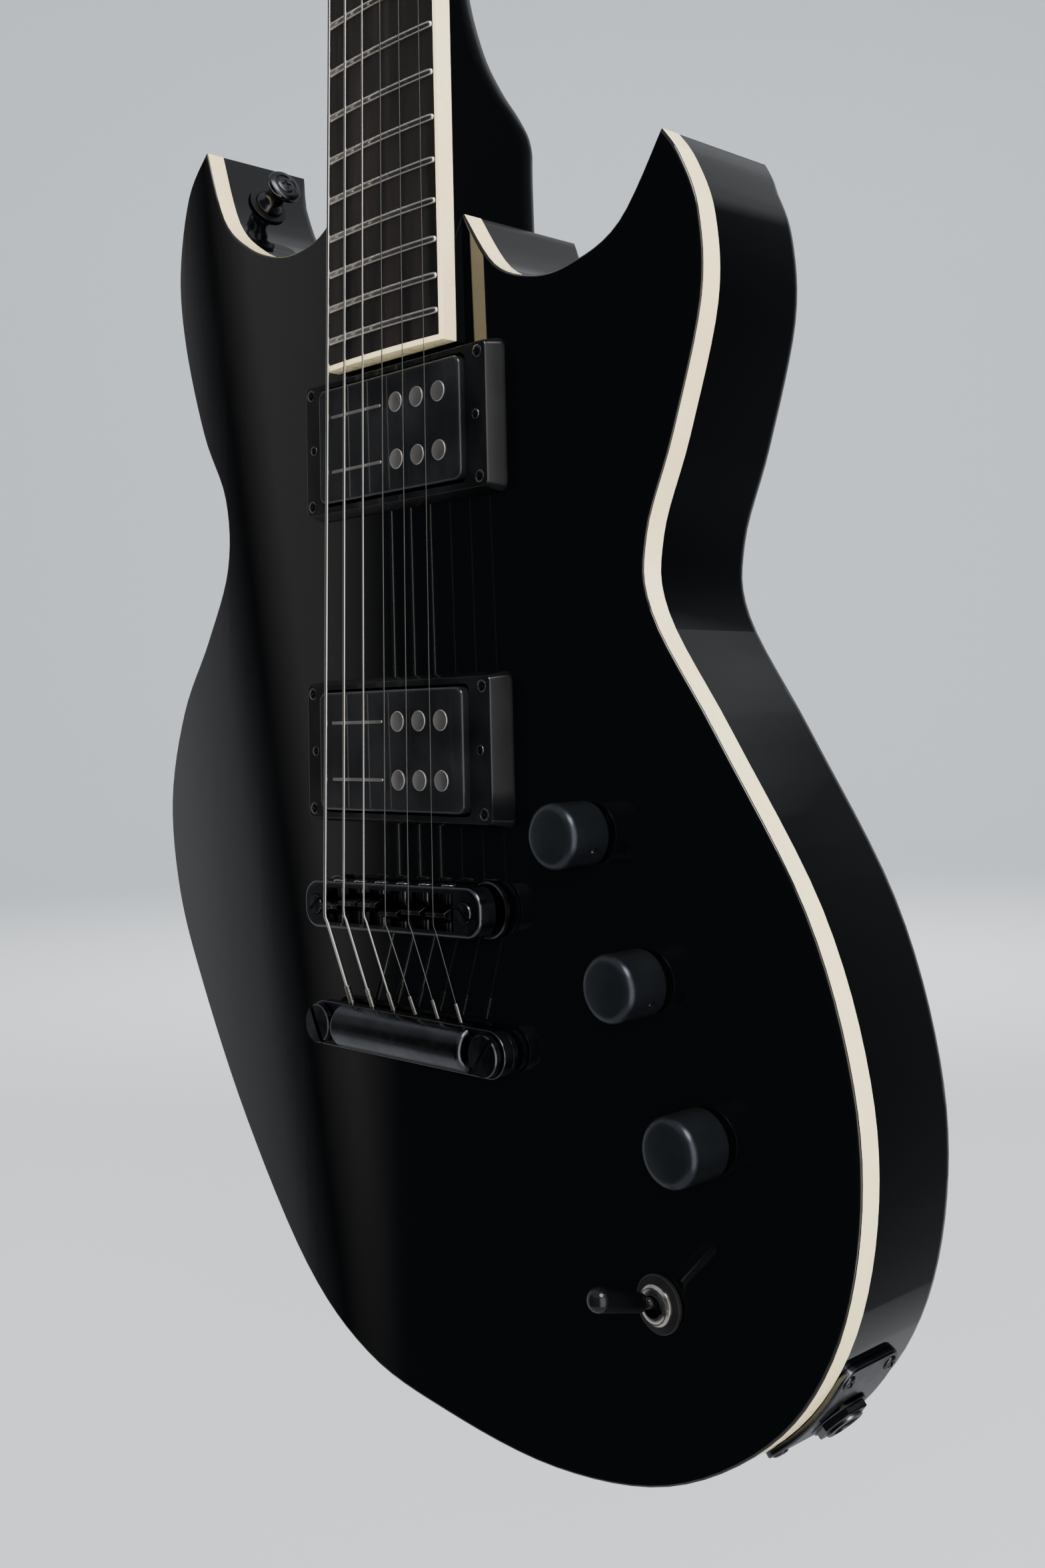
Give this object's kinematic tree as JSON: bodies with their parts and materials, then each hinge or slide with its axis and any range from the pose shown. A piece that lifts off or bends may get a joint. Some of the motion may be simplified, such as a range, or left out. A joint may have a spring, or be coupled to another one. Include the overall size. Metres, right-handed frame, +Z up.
{
  "type": "electric guitar",
  "caption": "Solid-body electric guitar with two cutaways, an arched black top, a bound neck, two pickups, a fixed bridge and tailpiece, control knobs and a toggle switch.",
  "frame": {"origin": "on the centreline at the nut, where the nut meets the end of the fingerboard, level with the middle of the body top", "axes": "+Z up the neck from the body to the headstock, +Y from the front to the back, +X to the treble side"},
  "size_m": [0.3065, 0.0843, 0.9713],
  "materials": {
    "black_lacquer": "high gloss black lacquer over wood",
    "cream_plastic": "cream, lightly polished",
    "ebony": "oiled dark ebony",
    "black_plastic": "satin black",
    "black_metal": "glossy black plated",
    "satin_knob": "satin dark grey anodised",
    "nickel": "nickel plated",
    "steel": "plain steel"
  },
  "bodies": {
    "guitar": {"top_cap": "black_lacquer", "body_core": "black_lacquer", "neck": "black_lacquer", "body_binding": "cream_plastic", "fretboard_binding": "cream_plastic", "nut": "cream_plastic", "fretboard": "ebony", "control_cover": "black_plastic", "truss_rod_cover": "black_plastic", "pickup_ring_neck": "black_plastic", "pickup_ring_bridge": "black_plastic", "tuner_housings_bass": "black_metal", "tuner_housings_treble": "black_metal", "bridge_rail": "black_metal", "bridge_post_bass": "black_metal", "bridge_post_treble": "black_metal", "tailpiece": "black_metal", "tailpiece_stud_bass": "black_metal", "tailpiece_stud_treble": "black_metal", "jack_plate": "black_metal", "jack_socket": "black_metal", "strap_button_upper": "black_metal", "strap_button_lower": "black_metal", "string_4": "nickel", "string_5": "nickel", "string_6": "nickel", "switch_nut": "nickel", "string_1": "steel", "string_2": "steel", "string_3": "steel", "truss_rod": "steel", "potentiometer_1": "steel", "potentiometer_2": "steel", "potentiometer_3": "steel", "switch_body": "steel"},
    "knob_1": {"knob_1": "satin_knob"},
    "knob_2": {"knob_2": "satin_knob"},
    "knob_3": {"knob_3": "satin_knob"},
    "switch_lever": {"switch_lever": "black_plastic"},
    "pickup_neck": {"pickup_neck": "black_plastic"},
    "pickup_bridge": {"pickup_bridge": "black_plastic"},
    "saddle_1": {"saddle_1": "black_metal"},
    "tuner_button_1": {"tuner_button_1": "black_metal"},
    "tuner_post_1": {"tuner_post_1": "black_metal"},
    "saddle_2": {"saddle_2": "black_metal"},
    "tuner_button_2": {"tuner_button_2": "black_metal"},
    "tuner_post_2": {"tuner_post_2": "black_metal"},
    "saddle_3": {"saddle_3": "black_metal"},
    "tuner_button_3": {"tuner_button_3": "black_metal"},
    "tuner_post_3": {"tuner_post_3": "black_metal"},
    "saddle_4": {"saddle_4": "black_metal"},
    "tuner_button_4": {"tuner_button_4": "black_metal"},
    "tuner_post_4": {"tuner_post_4": "black_metal"},
    "saddle_5": {"saddle_5": "black_metal"},
    "tuner_button_5": {"tuner_button_5": "black_metal"},
    "tuner_post_5": {"tuner_post_5": "black_metal"},
    "saddle_6": {"saddle_6": "black_metal"},
    "tuner_button_6": {"tuner_button_6": "black_metal"},
    "tuner_post_6": {"tuner_post_6": "black_metal"}
  },
  "joints": [
    {"name": "knob_1_turn", "type": "hinge", "parent": "guitar", "child": "knob_1", "pos_m": [0.0735, 0.00142, -0.60565], "axis": [0, -1, 0], "range_deg": [0, 300]},
    {"name": "knob_2_turn", "type": "hinge", "parent": "guitar", "child": "knob_2", "pos_m": [0.092, 0.00223, -0.64415], "axis": [0, -1, 0], "range_deg": [0, 300]},
    {"name": "knob_3_turn", "type": "hinge", "parent": "guitar", "child": "knob_3", "pos_m": [0.1105, 0.00321, -0.68265], "axis": [0, -1, 0], "range_deg": [0, 300]},
    {"name": "switch_throw", "type": "hinge", "parent": "guitar", "child": "switch_lever", "pos_m": [0.0945, 0.00185, -0.72615], "axis": [1, 0, 0], "range_deg": [0, 34]},
    {"name": "pickup_neck_height", "type": "slide", "parent": "guitar", "child": "pickup_neck", "axis": [0, -1, 0], "range_m": [-0.003, 0.002]},
    {"name": "pickup_bridge_height", "type": "slide", "parent": "guitar", "child": "pickup_bridge", "axis": [0, -1, 0], "range_m": [-0.003, 0.002]},
    {"name": "saddle_1_intonation", "type": "slide", "parent": "guitar", "child": "saddle_1", "axis": [-0.0262, 0, 0.9997], "range_m": [-0.0015, 0.0015]},
    {"name": "saddle_2_intonation", "type": "slide", "parent": "guitar", "child": "saddle_2", "axis": [-0.0262, 0, 0.9997], "range_m": [-0.0015, 0.0015]},
    {"name": "saddle_3_intonation", "type": "slide", "parent": "guitar", "child": "saddle_3", "axis": [-0.0262, 0, 0.9997], "range_m": [-0.0012, 0.0015]},
    {"name": "saddle_4_intonation", "type": "slide", "parent": "guitar", "child": "saddle_4", "axis": [-0.0262, 0, 0.9997], "range_m": [-0.0015, 0.0012]},
    {"name": "saddle_5_intonation", "type": "slide", "parent": "guitar", "child": "saddle_5", "axis": [-0.0262, 0, 0.9997], "range_m": [-0.0015, 0.0013]},
    {"name": "saddle_6_intonation", "type": "slide", "parent": "guitar", "child": "saddle_6", "axis": [-0.0262, 0, 0.9997], "range_m": [-0.0015, 0.0015]},
    {"name": "tuner_button_1_turn", "type": "hinge", "parent": "guitar", "child": "tuner_button_1", "pos_m": [0.0345, 0.03052, 0.02735], "axis": [1, 0, 0], "continuous": true},
    {"name": "tuner_post_1_turn", "type": "hinge", "parent": "guitar", "child": "tuner_post_1", "pos_m": [0.0275, 0.01111, 0.04043], "axis": [0, -0.9703, 0.2419], "continuous": true},
    {"name": "tuner_button_2_turn", "type": "hinge", "parent": "guitar", "child": "tuner_button_2", "pos_m": [0.033, 0.04044, 0.06713], "axis": [1, 0, 0], "continuous": true},
    {"name": "tuner_post_2_turn", "type": "hinge", "parent": "guitar", "child": "tuner_post_2", "pos_m": [0.026, 0.02103, 0.08021], "axis": [0, -0.9703, 0.2419], "continuous": true},
    {"name": "tuner_button_3_turn", "type": "hinge", "parent": "guitar", "child": "tuner_button_3", "pos_m": [0.0315, 0.05036, 0.10691], "axis": [1, 0, 0], "continuous": true},
    {"name": "tuner_post_3_turn", "type": "hinge", "parent": "guitar", "child": "tuner_post_3", "pos_m": [0.0245, 0.03095, 0.12], "axis": [0, -0.9703, 0.2419], "continuous": true},
    {"name": "tuner_button_4_turn", "type": "hinge", "parent": "guitar", "child": "tuner_button_4", "pos_m": [-0.0315, 0.05036, 0.10691], "axis": [-1, 0, 0], "continuous": true},
    {"name": "tuner_post_4_turn", "type": "hinge", "parent": "guitar", "child": "tuner_post_4", "pos_m": [-0.0245, 0.03095, 0.12], "axis": [0, -0.9703, 0.2419], "continuous": true},
    {"name": "tuner_button_5_turn", "type": "hinge", "parent": "guitar", "child": "tuner_button_5", "pos_m": [-0.033, 0.04044, 0.06713], "axis": [-1, 0, 0], "continuous": true},
    {"name": "tuner_post_5_turn", "type": "hinge", "parent": "guitar", "child": "tuner_post_5", "pos_m": [-0.026, 0.02103, 0.08021], "axis": [0, -0.9703, 0.2419], "continuous": true},
    {"name": "tuner_button_6_turn", "type": "hinge", "parent": "guitar", "child": "tuner_button_6", "pos_m": [-0.0345, 0.03052, 0.02735], "axis": [-1, 0, 0], "continuous": true},
    {"name": "tuner_post_6_turn", "type": "hinge", "parent": "guitar", "child": "tuner_post_6", "pos_m": [-0.0275, 0.01111, 0.04043], "axis": [0, -0.9703, 0.2419], "continuous": true}
  ],
  "couplings": [
    {"joint": "tuner_post_1_turn", "follows": "tuner_button_1_turn", "ratio": -0.066667},
    {"joint": "tuner_post_2_turn", "follows": "tuner_button_2_turn", "ratio": -0.066667},
    {"joint": "tuner_post_3_turn", "follows": "tuner_button_3_turn", "ratio": -0.066667},
    {"joint": "tuner_post_4_turn", "follows": "tuner_button_4_turn", "ratio": 0.066667},
    {"joint": "tuner_post_5_turn", "follows": "tuner_button_5_turn", "ratio": 0.066667},
    {"joint": "tuner_post_6_turn", "follows": "tuner_button_6_turn", "ratio": 0.066667}
  ]
}
